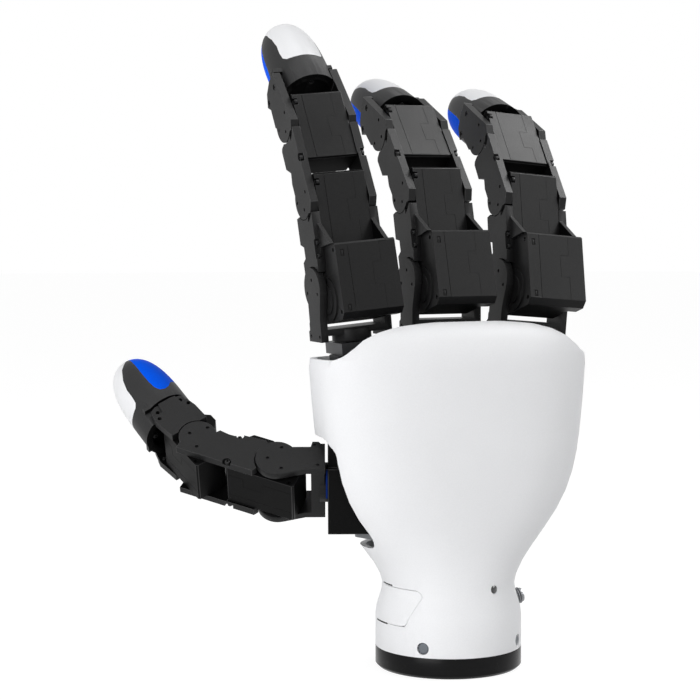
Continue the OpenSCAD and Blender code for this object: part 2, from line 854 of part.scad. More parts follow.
base_ring();
clamp_pins();
back_shell();
front_shell();
palm_panel();
wrist_hatch();
status_light();
cable_connector();
palm_chassis();
control_board();
base_motor(0);  // index_base_motor
base_motor(1);  // middle_base_motor
base_motor(2);  // ring_base_motor
at_finger(0, 0) yoke();  // index_yoke
at_finger(0, 1) knuckle_case();  // index_knuckle_case
at_finger(0, 1) proximal_frame();  // index_proximal_frame
at_finger(0, 1) translate([0, 0, proximal_len]) actuator_case(case_near, case_far);  // index_proximal_case
at_finger(0, 2) middle_fork();  // index_middle_fork
at_finger(0, 2) translate([0, 0, middle_len]) actuator_case(case_near, case_far);  // index_middle_case
at_finger(0, 3) distal_fork();  // index_distal_fork
at_finger(0, 3) tip_shell(23);  // index_tip_shell
at_finger(0, 3) nail_cap();  // index_nail_cap
at_finger(0, 3) tip_pad();  // index_tip_pad
at_finger(1, 0) yoke();  // middle_yoke
at_finger(1, 1) knuckle_case();  // middle_knuckle_case
at_finger(1, 1) proximal_frame();  // middle_proximal_frame
at_finger(1, 1) translate([0, 0, proximal_len]) actuator_case(case_near, case_far);  // middle_proximal_case
at_finger(1, 2) middle_fork();  // middle_middle_fork
at_finger(1, 2) translate([0, 0, middle_len]) actuator_case(case_near, case_far);  // middle_middle_case
at_finger(1, 3) distal_fork();  // middle_distal_fork
at_finger(1, 3) tip_shell(23);  // middle_tip_shell
at_finger(1, 3) nail_cap();  // middle_nail_cap
at_finger(1, 3) tip_pad();  // middle_tip_pad
at_finger(2, 0) yoke();  // ring_yoke
at_finger(2, 1) knuckle_case();  // ring_knuckle_case
at_finger(2, 1) proximal_frame();  // ring_proximal_frame
at_finger(2, 1) translate([0, 0, proximal_len]) actuator_case(case_near, case_far);  // ring_proximal_case
at_finger(2, 2) middle_fork();  // ring_middle_fork
at_finger(2, 2) translate([0, 0, middle_len]) actuator_case(case_near, case_far);  // ring_middle_case
at_finger(2, 3) distal_fork();  // ring_distal_fork
at_finger(2, 3) tip_shell(23);  // ring_tip_shell
at_finger(2, 3) nail_cap();  // ring_nail_cap
at_finger(2, 3) tip_pad();  // ring_tip_pad
thumb_swing_case();
thumb_motor_seal();
at_thumb(0)  // thumb_yoke
    yoke(2.3, thumb_foot, [[7, -16], [-4, -17.3]], 5.6);
at_thumb(2) thumb_lower_case();
at_thumb(2) thumb_middle_fork();
at_thumb(3) thumb_upper_case();
at_thumb(3) thumb_distal_fork();
at_thumb(3)  // thumb_tip_shell
    translate(thumb_tip) tip_shell(22.8);
at_thumb(3)  // thumb_nail_cap
    translate(thumb_tip) nail_cap();
at_thumb(3)  // thumb_tip_pad
    translate(thumb_tip) tip_pad();
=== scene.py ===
"""Finished surfaces of a dexterous robot hand, built around its frame."""
import json
import math

import bmesh
import bpy
from bpy.props import FloatProperty, FloatVectorProperty, PointerProperty
from mathutils import Matrix, Vector
from mathutils.bvhtree import BVHTree

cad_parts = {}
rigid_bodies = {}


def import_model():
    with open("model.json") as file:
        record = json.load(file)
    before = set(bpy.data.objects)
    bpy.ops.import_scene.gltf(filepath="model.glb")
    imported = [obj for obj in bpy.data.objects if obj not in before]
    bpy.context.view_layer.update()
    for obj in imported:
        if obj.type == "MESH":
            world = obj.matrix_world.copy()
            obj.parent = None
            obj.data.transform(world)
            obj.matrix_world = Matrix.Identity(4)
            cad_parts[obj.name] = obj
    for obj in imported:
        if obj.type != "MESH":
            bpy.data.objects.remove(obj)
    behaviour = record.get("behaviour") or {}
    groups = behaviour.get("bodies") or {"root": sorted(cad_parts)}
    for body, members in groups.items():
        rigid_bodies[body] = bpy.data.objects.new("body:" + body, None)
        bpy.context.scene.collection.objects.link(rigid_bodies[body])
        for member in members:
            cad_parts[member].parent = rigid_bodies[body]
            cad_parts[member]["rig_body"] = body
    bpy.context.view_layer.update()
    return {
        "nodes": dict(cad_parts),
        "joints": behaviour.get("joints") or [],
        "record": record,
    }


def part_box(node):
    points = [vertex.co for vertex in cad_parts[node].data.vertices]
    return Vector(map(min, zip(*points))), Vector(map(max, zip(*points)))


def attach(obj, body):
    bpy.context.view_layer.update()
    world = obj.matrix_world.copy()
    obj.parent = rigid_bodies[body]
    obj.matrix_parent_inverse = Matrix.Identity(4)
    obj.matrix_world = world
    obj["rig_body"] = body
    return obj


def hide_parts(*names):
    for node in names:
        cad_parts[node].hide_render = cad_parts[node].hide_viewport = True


bl_info = {
    "name": "Robot hand finish",
    "version": (1, 0, 0),
    "blender": (4, 5, 0),
    "location": "View3D > Sidebar > Robot hand",
    "description": "Gives a jointed robot hand its edges, seams, "
                   "screws and finishes",
    "category": "Object",
}

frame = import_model()
JOINTS = {joint["name"]: joint for joint in frame["joints"]}
NODES = frame["nodes"]
MM = 0.001
FINGERS = ("index", "middle", "ring")
DIGITS = FINGERS + ("thumb",)


# ------------------------------------------------------------------ settings

def colour(name, text, value):
    return FloatVectorProperty(name=name, description=text, subtype="COLOR",
                               size=3, min=0.0, max=1.0, default=value)


def length(name, text, value):
    return FloatProperty(name=name, description=text, default=value,
                         min=0.0, subtype="DISTANCE", unit="LENGTH")


def amount(name, text, value, top=1.0):
    return FloatProperty(name=name, description=text, default=value,
                         min=0.0, max=top)


class HandColours(bpy.types.PropertyGroup):
    shell: colour("Shell", "Moulded palm shells", (0.80, 0.805, 0.82))
    cap: colour("Nail cap", "Gloss cap on the back of a fingertip",
                (0.79, 0.795, 0.81))
    panel: colour("Panel", "Service panel of the palm", (0.70, 0.71, 0.73))
    pad: colour("Grip pad", "Pad on the gripping side of a tip",
                (0.0, 0.108, 0.92))
    case: colour("Case", "Actuator cases", (0.0050, 0.0050, 0.0052))
    frame: colour("Frame", "Fork plates, yokes and side frames",
                  (0.0095, 0.0095, 0.0098))
    tip: colour("Tip body", "Soft-touch body of a fingertip",
                (0.020, 0.020, 0.0205))
    ring: colour("Wrist ring", "Flange ring at the wrist",
                 (0.0042, 0.0042, 0.0045))


class HandSizes(bpy.types.PropertyGroup):
    case_edge: length("Case edge", "Width of the broken edges of a case",
                      0.00042)
    plate_edge: length("Plate edge", "Width of the broken edges of a plate",
                       0.00034)
    shell_edge: length("Shell edge", "Rounding of the cut edges of a shell",
                       0.0006)
    seam: length("Seam", "Width of a parting line on a case", 0.00020)
    seam_depth: length("Seam depth", "Depth of a parting line", 0.00022)
    grain: length("Grain", "Size of the moulded texture", 0.00038)


class HandStage(bpy.types.PropertyGroup):
    sky: amount("Sky", "Even light from all round", 0.38, 4.0)
    key: amount("Key", "Softbox on the thumb side, in watts", 11.5, 100.0)
    rim: amount("Rim", "Softbox high on the other side, in watts", 4.5,
                100.0)
    gloss: amount("Gloss", "Strength of the cards that only show in "
                  "reflections", 1.0, 10.0)
    white: amount("White", "Brightness of the backdrop itself", 1.0, 2.0)


# ----------------------------------------------------------------- places

def joint_point(name):
    return Vector(JOINTS[name]["pos_m"])


def joint_axis(name):
    return Vector(JOINTS[name]["axis"]).normalized()


def axes_at(origin, x, z):
    """Frame with its X and Z given, scaled so that pieces are drawn in mm."""
    turn = Matrix((x, z.cross(x), z)).transposed().to_4x4()
    return Matrix.Translation(origin) @ turn @ Matrix.Scale(MM, 4)


def along(start, end):
    return (joint_point(end) - joint_point(start)).normalized()


def link(digit, n):
    """Rest frame of a link: X across the digit, Z along it, -Y its back.

    n is 0 for the yoke, 1 and 2 for the two bones and 3 for the tip.
    """
    tip = digit + "_tip_joint"
    if digit == "thumb":
        if n < 2:
            return axes_at(joint_point("thumb_knuckle"),
                           -joint_axis("thumb_knuckle"),
                           joint_axis("thumb_roll"))
        start = "thumb_knuckle"
    else:
        start = digit + ("_knuckle", "_knuckle", "_middle_joint",
                         "_middle_joint")[n]
        if n == 0:
            return axes_at(joint_point(start), -joint_axis(start),
                           -joint_axis(digit + "_roll"))
        if n == 1:
            return axes_at(joint_point(start), -joint_axis(start),
                           along(start, digit + "_middle_joint"))
    base = axes_at(joint_point(start), -joint_axis(start), along(start, tip))
    if n == 2:
        return base
    # a tip joint is straight at its lower limit
    bend = math.radians(JOINTS[tip]["range_deg"][0])
    base.translation = joint_point(tip)
    return base @ Matrix.Rotation(bend, 4, "X")


# --------------------------------------------------------------- materials

def new_material(name):
    mat = bpy.data.materials.new(name)
    mat.use_nodes = True
    tree = mat.node_tree
    return mat, tree, tree.nodes["Principled BSDF"]


def noise(tree, size, detail=2.0, stretch=None):
    """Noise on the object's own coordinates; size is that of one speck."""
    where = tree.nodes.new("ShaderNodeTexCoord").outputs["Object"]
    if stretch:
        mapping = tree.nodes.new("ShaderNodeMapping")
        mapping.inputs["Scale"].default_value = stretch
        tree.links.new(where, mapping.inputs["Vector"])
        where = mapping.outputs["Vector"]
    node = tree.nodes.new("ShaderNodeTexNoise")
    node.inputs["Scale"].default_value = 1.0 / size
    node.inputs["Detail"].default_value = detail
    tree.links.new(where, node.inputs["Vector"])
    return node.outputs["Fac"]


def spread_value(tree, source, low, high, to_low, to_high):
    node = tree.nodes.new("ShaderNodeMapRange")
    for socket, value in (("From Min", low), ("From Max", high),
                          ("To Min", to_low), ("To Max", to_high)):
        node.inputs[socket].default_value = value
    tree.links.new(source, node.inputs["Value"])
    return node.outputs["Result"]


def tint(tree, source, low, high):
    node = tree.nodes.new("ShaderNodeMix")
    node.data_type = "RGBA"
    node.inputs["A"].default_value = (*low, 1.0)
    node.inputs["B"].default_value = (*high, 1.0)
    tree.links.new(source, node.inputs["Factor"])
    return node.outputs["Result"]


def shade(rgb, k):
    return tuple(min(1.0, c * k) for c in rgb)


def moulded(name, rgb, rough, grain, bump, contrast=0.14, smudge=0.06,
            specular=0.5, coat=0.0, metal=0.0, stretch=None):
    """Solid material: fine grain, slow smudges and a slightly uneven gloss."""
    mat, tree, shader = new_material(name)
    fine = noise(tree, grain, 3.0, stretch)
    slow = noise(tree, 0.03, 3.0)
    specks = spread_value(tree, fine, 0.35, 0.65, 0.0, 1.0)
    body = tint(tree, specks, shade(rgb, 1 - contrast),
                shade(rgb, 1 + contrast))
    patch = spread_value(tree, slow, 0.3, 0.7, 1 - smudge, 1 + smudge)
    scale = tree.nodes.new("ShaderNodeVectorMath")
    scale.operation = "SCALE"
    tree.links.new(body, scale.inputs[0])
    tree.links.new(patch, scale.inputs["Scale"])
    tree.links.new(scale.outputs[0], shader.inputs["Base Color"])
    gloss = spread_value(tree, slow, 0.3, 0.7, rough * 0.92, rough * 1.08)
    tree.links.new(gloss, shader.inputs["Roughness"])
    relief = tree.nodes.new("ShaderNodeBump")
    relief.inputs["Strength"].default_value = bump
    relief.inputs["Distance"].default_value = 0.0001
    tree.links.new(fine, relief.inputs["Height"])
    tree.links.new(relief.outputs["Normal"], shader.inputs["Normal"])
    shader.inputs["Specular IOR Level"].default_value = specular
    shader.inputs["Metallic"].default_value = metal
    if coat:
        shader.inputs["Coat Weight"].default_value = coat
        shader.inputs["Coat Roughness"].default_value = 0.12
    return mat


def make_materials():
    c = bpy.context.scene.hand_colours
    grain = bpy.context.scene.hand_sizes.grain
    moulded("case_matte", c.case, 0.42, grain, 0.42, 0.30, specular=0.12)
    # darker copy of the case colour: painted shade on the thumb cases
    moulded("case_shaded", shade(c.case, 0.6), 0.46, grain, 0.42, 0.30,
            specular=0.05)
    # near-black copy of the case colour: painted shade for faces between parts
    # and inside hollows
    moulded("painted_shade_black", shade(c.case, 0.3), 0.6, grain, 0.2,
            specular=0.03)
    # lighter copies of the case and frame colours for the bevel strips: a
    # painted highlight along the edges
    moulded("case_edge", shade(c.case, 2.4), 0.40, grain, 0.12,
            specular=0.22)
    moulded("frame_matte", c.frame, 0.46, grain, 0.36, 0.24, specular=0.14)
    moulded("frame_edge_highlight", shade(c.frame, 2.2), 0.38, grain, 0.12,
            specular=0.3)
    moulded("shell_gloss", c.shell, 0.48, 0.0006, 0.05, 0.012, 0.012,
            specular=0.14)
    moulded("cap_gloss", c.cap, 0.34, 0.0006, 0.03, 0.010, 0.010,
            specular=0.2)
    moulded("panel_satin", c.panel, 0.46, 0.0005, 0.10, 0.02, 0.02)
    moulded("pad_gloss", c.pad, 0.5, 0.0005, 0.05, 0.05, 0.04,
            specular=0.02)
    # much darker copy of the pad blue: painted shade on the seal of the
    # thumb's roll motor
    moulded("seal_blue_painted_shade", shade(c.pad, 0.12), 0.5, 0.0005, 0.05, 0.05, 0.04,
            specular=0.07)
    moulded("tip_soft", c.tip, 0.50, 0.0004, 0.16, 0.12, 0.08,
            specular=0.20)
    moulded("ring_satin", c.ring, 0.24, 0.0004, 0.04, 0.10, 0.08,
            specular=0.11)
    moulded("pin_satin", (0.115, 0.125, 0.140), 0.42, 0.0003, 0.06, 0.06,
            0.05, specular=0.4, metal=0.6)
    moulded("screw_black", (0.005, 0.005, 0.0055), 0.38, 0.0003, 0.08,
            specular=0.22)
    moulded("socket_dark", (0.004, 0.004, 0.004), 0.7, 0.0004, 0.05,
            specular=0.2)
    moulded("nickel_bright", (0.26, 0.265, 0.275), 0.26, 0.0003, 0.05, 0.05,
            0.05, metal=1.0)
    moulded("chassis_grey", (0.16, 0.165, 0.175), 0.42, 0.0005, 0.10, 0.08,
            0.06, metal=0.85)
    moulded("motor_black", (0.020, 0.020, 0.022), 0.42, 0.0004, 0.14,
            specular=0.45)
    moulded("board_green", (0.012, 0.10, 0.035), 0.36, 0.0008, 0.10, 0.18,
            0.08)
    moulded("lens_black", (0.004, 0.004, 0.005), 0.10, 0.0006, 0.02,
            specular=0.6, coat=0.5)


def mats(*names):
    return [bpy.data.materials[name] for name in names]


# ------------------------------------------------------------ mesh helpers

WELD = 3e-6
SLIVER = 2e-6
MERGE_ANGLE = 0.5
FINE_MERGE_ANGLE = 0.02
SHARP_ANGLE = 38.0
SOFT_SHARP_ANGLE = 34.0


def node_bmesh(node, fine=False):
    """A welded copy of a CAD node, its flat faces made whole.

    A fine copy keeps the facets of its curved sides apart.
    """
    bm = bmesh.new()
    bm.from_mesh(NODES[node].data)
    bmesh.ops.remove_doubles(bm, verts=bm.verts, dist=WELD)
    bmesh.ops.dissolve_degenerate(bm, edges=bm.edges, dist=SLIVER)
    angle = math.radians(FINE_MERGE_ANGLE if fine else MERGE_ANGLE)
    bmesh.ops.dissolve_limit(bm, angle_limit=angle,
                             verts=bm.verts, edges=bm.edges,
                             use_dissolve_boundaries=False)
    return bm


# materials of a node: its body, its broken edges with their painted highlight,
# and the faces that get painted shade and painted light
EDGE_HIGHLIGHT_SLOT = 1
PAINTED_LIGHT_AND_SHADE_SLOT = 2
BEVEL_ANGLE = 32.0
SHORTEST_EDGE = 0.00034


def break_edges(bm, width, shortest):
    """Bevels the sharp edges and gives the new strips the second material,
    which on cases, frames and motors is a lighter copy painted on as a
    highlight.
    """
    limit = math.radians(BEVEL_ANGLE)
    edges = [e for e in bm.edges if len(e.link_faces) == 2
             and e.calc_face_angle(0.0) > limit
             and e.calc_length() > shortest]
    if not edges:
        return
    made = bmesh.ops.bevel(bm, geom=edges, offset=width,
                           offset_type="OFFSET", segments=2,
                           profile=0.5, affect="EDGES", clamp_overlap=True,
                           material=-1, loop_slide=True)
    for face in made["faces"]:
        face.material_index = EDGE_HIGHLIGHT_SLOT


# tolerances of a parting line, in mm
ON_FACE = 0.05
ON_LINE = 0.002
FAR = 99


def groove(bm, matrix, y, path, width, depth):
    """Cuts a V-shaped parting line into the flat face at local y.

    path holds [x, z] corners in mm, each leg upright or level.
    """
    inverse = matrix.inverted()
    normal = (matrix.to_3x3() @ Vector((0, -1, 0))).normalized()

    def on_face(f):
        return (f.normal.dot(normal) > 0.999
                and abs((inverse @ f.calc_center_median()).y - y) < ON_FACE)

    def cut(z0, z1, co, no):
        faces = [f for f in bm.faces if on_face(f) and
                 z0 <= (inverse @ f.calc_center_median()).z <= z1]
        geom = set(faces)
        for f in faces:
            geom.update(f.edges, f.verts)
        across = matrix.to_3x3() @ Vector((no[0], 0, no[1]))
        bmesh.ops.bisect_plane(
            bm, geom=list(geom), dist=1e-7,
            plane_co=matrix @ Vector((co[0], y, co[1])),
            plane_no=across.normalized())

    levels = sorted({p[1] for p in path})
    for z in levels[1:-1]:
        cut(-FAR, FAR, (0, z), (0, 1))
    for (xa, za), (xb, zb) in zip(path, path[1:]):
        if xa == xb:
            cut(min(za, zb), max(za, zb), (xa, 0), (1, 0))

    def on_path(p):
        for (xa, za), (xb, zb) in zip(path, path[1:]):
            if (min(xa, xb) - ON_LINE <= p.x <= max(xa, xb) + ON_LINE and
                    min(za, zb) - ON_LINE <= p.z <= max(za, zb) + ON_LINE):
                return True
        return False

    def local(v):
        return inverse @ v.co

    chosen = [e for e in bm.edges
              if all(on_face(f) for f in e.link_faces)
              and on_path((local(e.verts[0]) + local(e.verts[1])) / 2)
              and on_path(local(e.verts[0])) and on_path(local(e.verts[1]))]
    if not chosen:
        return
    made = bmesh.ops.bevel(bm, geom=chosen, offset=width / 2,
                           offset_type="OFFSET", segments=2, profile=0.5,
                           affect="EDGES", clamp_overlap=False, material=-1)
    for v in made["verts"]:
        p = local(v)
        if abs(p.y - y) < ON_LINE and on_path(p):
            v.co -= normal * depth


# a flat face is larger than this, in mm2, and no large neighbour of it is
# turned by an angle in the range of a curve, in degrees
FLAT_AREA = 3.0
CURVE_SHARE = 0.25
CURVE_BENDS = (0.6, 15)
FOLLOWS_FLAT = math.cos(math.radians(50.0))


def flat_faces(bm):
    """Numbers of the large faces that are no facet of a curved surface."""
    flat = set()
    for face in bm.faces:
        area = face.calc_area()
        if area < FLAT_AREA * MM * MM:
            continue
        for edge in face.edges:
            if len(edge.link_faces) == 2:
                bend = math.degrees(edge.calc_face_angle(0.0))
                other = next((f for f in edge.link_faces if f != face), face)
                if (CURVE_BENDS[0] < bend < CURVE_BENDS[1]
                        and other.calc_area() > area * CURVE_SHARE):
                    break
        else:
            flat.add(face.index)
    return flat


def steady_normals(data, flat):
    """Keeps the flat faces even, and lets narrow strips follow them."""
    around = {}
    for face in data.polygons:
        if face.index in flat:
            for v in face.vertices:
                around.setdefault(v, []).append(face.normal.copy())
    normals = [Vector((0, 0, 0))] * len(data.loops)
    for face in data.polygons:
        own = face.normal.copy()
        for corner in face.loop_indices:
            if face.index in flat:
                normals[corner] = own
                continue
            near = around.get(data.loops[corner].vertex_index)
            if near:
                best = max(near, key=own.dot)
                if best.dot(own) > FOLLOWS_FLAT:
                    normals[corner] = best
    data.normals_split_custom_set(normals)


def to_object(bm, name, body, materials, replaces=(),
              angle=SHARP_ANGLE, curved=False):
    """Turns a bmesh into a finished piece that rides on a body."""
    data = bpy.data.meshes.new(name)
    bm.normal_update()
    bm.faces.index_update()
    flat = set() if curved else flat_faces(bm)
    bm.to_mesh(data)
    bm.free()
    for face in data.polygons:
        face.use_smooth = True
    data.set_sharp_from_angle(angle=math.radians(angle))
    if not curved:
        steady_normals(data, flat)
    obj = bpy.data.objects.new(name, data)
    bpy.context.scene.collection.objects.link(obj)
    for material in materials:
        data.materials.append(material)
    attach(obj, body)
    if replaces:
        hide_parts(*replaces)
    return obj


def finish_node(node, name, materials, edge, angle=SHARP_ANGLE,
                seams=(), shortest=SHORTEST_EDGE, painted=None, curved=False,
                fine=False):
    """Edge-broken copy of a CAD node, with its parting lines.

    painted holds a frame and the rule that picks the faces of the third
    material, which is painted shade between parts and inside hollows, and
    painted light on the sides of a knuckle case. A curved node keeps the even
    shading of its meshed curves.
    """
    body = NODES[node]["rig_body"]
    bm = node_bmesh(node, fine)
    if painted:
        paint(bm, *painted)
    if edge:
        break_edges(bm, edge, shortest)
    sizes = bpy.context.scene.hand_sizes
    for matrix, y, path in seams:
        groove(bm, matrix, y, path, sizes.seam, sizes.seam_depth)
    return to_object(bm, name, body, materials, [node], angle, curved)


def paint(bm, matrix, rule):
    """Gives the third material, painted shade and painted light, to faces a
    rule picks by place and direction.

    The rule gets the middle of a face in mm of a frame, and its direction.
    """
    inverse = matrix.inverted()
    turn = matrix.to_3x3().normalized().transposed()
    for face in bm.faces:
        if rule(inverse @ face.calc_center_median(), turn @ face.normal):
            face.material_index = PAINTED_LIGHT_AND_SHADE_SLOT


def disc(bm, place, radius, z0, z1, rim, sides=24):
    """Bevelled disc from z0 to z1 of a frame; returns its top face."""
    made = bmesh.ops.create_cone(
        bm, cap_ends=True, segments=sides, radius1=radius, radius2=radius,
        depth=z1 - z0,
        matrix=place @ Matrix.Translation((0, 0, (z0 + z1) / 2)))
    out = (place.to_3x3() @ Vector((0, 0, 1))).normalized()
    faces = {f for v in made["verts"] for f in v.link_faces}
    top = max(faces, key=lambda f: f.calc_center_median().dot(out))
    if rim:
        made = bmesh.ops.bevel(bm, geom=list(top.edges), offset=rim * MM,
                               offset_type="OFFSET", segments=2, profile=0.5,
                               affect="EDGES", clamp_overlap=True,
                               material=-1)
        wide = [f for f in bm.faces[-len(faces) - 3 * sides:]
                if len(f.verts) == sides and f.normal.dot(out) > 0.9]
        top = max(wide, key=lambda f: f.calc_center_median().dot(out))
    return top


def look_along(direction):
    return Vector(direction).to_track_quat("Z", "Y").to_matrix().to_4x4()


# rim, socket wall and socket chamfer of a screw, as shares of its radius
SCREW_RIM, SCREW_WALL, SCREW_CHAMFER = 0.14, 0.36, 0.05


def add_screw(bm, matrix, centre, direction, radius, height):
    """Screw head in mm with a bevelled rim and a sunk socket.

    centre is where the head sits, and direction the way it looks out.
    """
    place = matrix @ Matrix.Translation(centre) @ look_along(direction)
    top = disc(bm, place, radius, 0, height, radius * SCREW_RIM)
    bmesh.ops.inset_region(bm, faces=[top],
                           thickness=radius * MM * SCREW_WALL, depth=0.0)
    bmesh.ops.inset_region(bm, faces=[top],
                           thickness=radius * MM * SCREW_CHAMFER,
                           depth=-height * MM * 0.5)
    top.material_index = 1


def screws_piece(name, body, materials, rows):
    """One piece holding several screws; rows are add_screw arguments."""
    bm = bmesh.new()
    for row in rows:
        add_screw(bm, *row)
    return to_object(bm, name, body, materials)


def add_block(bm, matrix, low, high, edge):
    """Box in mm with all its edges rounded."""
    middle = [(a + b) / 2 for a, b in zip(low, high)]
    size = [b - a for a, b in zip(low, high)]
    made = bmesh.ops.create_cube(
        bm, size=1.0,
        matrix=matrix @ Matrix.Translation(middle) @ Matrix.Diagonal(
            (*size, 1.0)))
    edges = {e for v in made["verts"] for e in v.link_edges}
    bmesh.ops.bevel(bm, geom=list(edges), offset=edge * MM,
                    offset_type="OFFSET", segments=2, profile=0.5,
                    affect="EDGES", clamp_overlap=True, material=-1)


def surface_of(*nodes):
    """Search tree over CAD nodes, to set small parts on their surface."""
    bm = bmesh.new()
    for node in nodes:
        bm.from_mesh(NODES[node].data)
    tree = BVHTree.FromBMesh(bm)
    bm.free()
    return tree


def hit(tree, start, direction):
    """Place and outward direction of the surface a line from start meets."""
    place, normal, index, distance = tree.ray_cast(
        Vector(start) * MM, Vector(direction).normalized())
    if place is None:
        raise RuntimeError("no surface under a small part")
    if normal.dot(Vector(direction)) > 0:
        normal = -normal
    return place, normal


# ------------------------------------------------------------------- pieces

# connector, in mm; the depths are measured from its mouth
CONNECTOR_BORE = 2.3
INSULATOR_DEPTHS = (-3.4, -2.6)
CONTACTS = 4
CONTACT_CIRCLE = 1.1
CONTACT_RADIUS = 0.32
CONTACT_DEPTHS = (-2.7, -1.2)
HATCH_RADIUS = 30.5
SLOT_HALF_HEIGHT = 0.42
SLOT_THICKNESS = 0.55
SLOT_SINK = 0.5
# name, then both ends round the neck from the thumb side and the height, mm
HATCH_SLOTS = (("hatch_slot_upper", -4.8, 5.0, 36.9),
               ("hatch_slot_lower", -5.6, 5.2, 20.9))


class HAND_OT_wrist(bpy.types.Operator):
    """Flange ring, clamp pins, status light, connector and hatch slots."""
    bl_idname = "hand.wrist"
    bl_label = "Wrist"

    def execute(self, context):
        finish_node("base_ring", "wrist_ring_body",
                    mats("ring_satin", "ring_satin"), 0.0006, curved=True)
        finish_node("clamp_pins", "wrist_clamp_pins",
                    mats("pin_satin", "pin_satin"), 0.0002,
                    shortest=0.0002)
        finish_node("status_light", "status_light_lens",
                    mats("lens_black", "lens_black"), None)
        finish_node("cable_connector", "wrist_connector_body",
                    mats("nickel_bright", "nickel_bright"), None, angle=30)
        self.connector_face()
        self.hatch_slots()
        return {"FINISHED"}

    def connector_face(self):
        """Insulator and pins down the barrel of the connector."""
        mount = next(m for m in frame["record"]["mounts"]
                     if m["name"] == "cable_plug")
        out = Vector(mount["axis"]).normalized()
        mouth = Vector(mount["pos_m"])
        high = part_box("cable_connector")[1]
        reach = max(Vector(high).dot(out), 0) - mouth.dot(out)
        bm = bmesh.new()
        place = (Matrix.Translation(mouth + out * min(reach, 0))
                 @ look_along(out) @ Matrix.Scale(MM, 4))
        disc(bm, place, CONNECTOR_BORE - 0.05, *INSULATOR_DEPTHS, 0.15)
        for k in range(CONTACTS):
            pin = (place @ Matrix.Rotation(math.tau / CONTACTS * k, 4, "Z")
                   @ Matrix.Translation((CONTACT_CIRCLE, 0, 0)))
            end = disc(bm, pin, CONTACT_RADIUS, *CONTACT_DEPTHS, 0.12, 12)
            end.material_index = 1
        to_object(bm, "wrist_connector_insert", "palm",
                  mats("socket_dark", "nickel_bright"))

    def hatch_slots(self):
        """Two dark finger slots at the edges of the wrist hatch."""
        tree = surface_of("wrist_hatch", "back_shell")
        for name, start, end, z in HATCH_SLOTS:
            bm = bmesh.new()
            add_block(bm, Matrix.Scale(MM, 4),
                      (start, 0, -SLOT_HALF_HEIGHT),
                      (end, SLOT_THICKNESS, SLOT_HALF_HEIGHT), 0.2)
            long_edges = [e for e in bm.edges
                          if abs(e.verts[0].co.x - e.verts[1].co.x)
                          > 2 * MM]
            bmesh.ops.subdivide_edges(bm, edges=long_edges, cuts=10,
                                      use_grid_fill=True)
            for v in bm.verts:
                turn = v.co.x / (HATCH_RADIUS * MM)
                out = Vector((-math.cos(turn), -math.sin(turn), 0))
                spot = hit(tree, (*(out.xy * 60), z + v.co.z / MM), -out)[0]
                v.co = spot + out * (v.co.y - SLOT_SINK * MM)
            bmesh.ops.recalc_face_normals(bm, faces=bm.faces)
            to_object(bm, name, "palm",
                      mats("socket_dark", "socket_dark"))


# across and up, in mm
PANEL_SCREWS = ((0, 72), (34, 72), (0, 116), (40, 116))
PANEL_SCREW_RADIUS = 1.9


class HAND_OT_palm(bpy.types.Operator):
    """Back and front palm shells, service panel and wrist hatch."""
    bl_idname = "hand.palm"
    bl_label = "Palm shells"

    def execute(self, context):
        edge = context.scene.hand_sizes.shell_edge
        for node, name, slot, finish in (
                ("back_shell", "palm_back_cover", "shell_white",
                 "shell_gloss"),
                ("front_shell", "palm_front_cover", "shell_white",
                 "shell_gloss"),
                ("palm_panel", "palm_service_panel", "panel_grey",
                 "panel_satin"),
                ("wrist_hatch", "wrist_hatch_cover", "shell_white",
                 "shell_gloss")):
            thin = edge if node.endswith("shell") else 0.0004
            finish_node(node, name, mats(finish, finish), thin,
                        angle=SOFT_SHARP_ANGLE, shortest=0.0006,
                        curved=node != "palm_panel")
        tree = surface_of("palm_panel")
        bm = bmesh.new()
        for x, z in PANEL_SCREWS:
            spot, normal = hit(tree, (x, 80, z), (0, -1, 0))
            add_screw(bm, Matrix.Translation(spot) @ Matrix.Scale(MM, 4),
                      normal * -0.75, normal, PANEL_SCREW_RADIUS, 0.9)
        to_object(bm, "palm_panel_screws", "palm",
                  mats("screw_black", "socket_dark"))
        return {"FINISHED"}


# base motors: depth of the top below the knuckle, then their screws, in mm
MOTOR_TOP = 23.6
MOTOR_SCREWS_X = (-6.6, 9.8)
MOTOR_SCREWS_Y = (-6.8, 7.4)
MOTOR_SCREW_SIZE = (1.05, 0.9)
MOTOR_SCREW_SINK = 1.2


class HAND_OT_inside(bpy.types.Operator):
    """Chassis, control board and the motors that roll the fingers."""
    bl_idname = "hand.inside"
    bl_label = "Chassis and base motors"

    def execute(self, context):
        finish_node("palm_chassis", "palm_chassis_body",
                    mats("chassis_grey", "chassis_grey"), 0.0004)
        finish_node("control_board", "palm_control_board",
                    mats("board_green", "board_green"), 0.0002)
        for finger in FINGERS:
            finish_node(finger + "_base_motor",
                        finger + "_base_motor_body",
                        mats("motor_black", "case_edge"), 0.0003)
            screws_piece(finger + "_motor_screws", "palm",
                         mats("screw_black", "socket_dark"),
                         [(link(finger, 0),
                           (x, y, -MOTOR_TOP - MOTOR_SCREW_SINK),
                           (0, 0, 1), *MOTOR_SCREW_SIZE)
                          for x in MOTOR_SCREWS_X for y in MOTOR_SCREWS_Y])
        return {"FINISHED"}


def case_seams(matrix, y, top, bottom, left, right, inner, z0, z1):
    """A straight seam and a jogged one on the back of a case.

    The left seam is straight. The right one steps in to inner from z0 to
    z1. All are in mm of the frame, with the back of the case at y.
    """
    return [(matrix, y, [(left, bottom), (left, top)]),
            (matrix, y, [(right, bottom), (right, z0), (inner, z0),
                         (inner, z1), (right, z1), (right, top)])]


# local y of the backs of the cases, in mm
KNUCKLE_BACK = -20.2
CASE_BACK = -8.44
KNUCKLE_WINDOWS = (-10.9, 12.0)
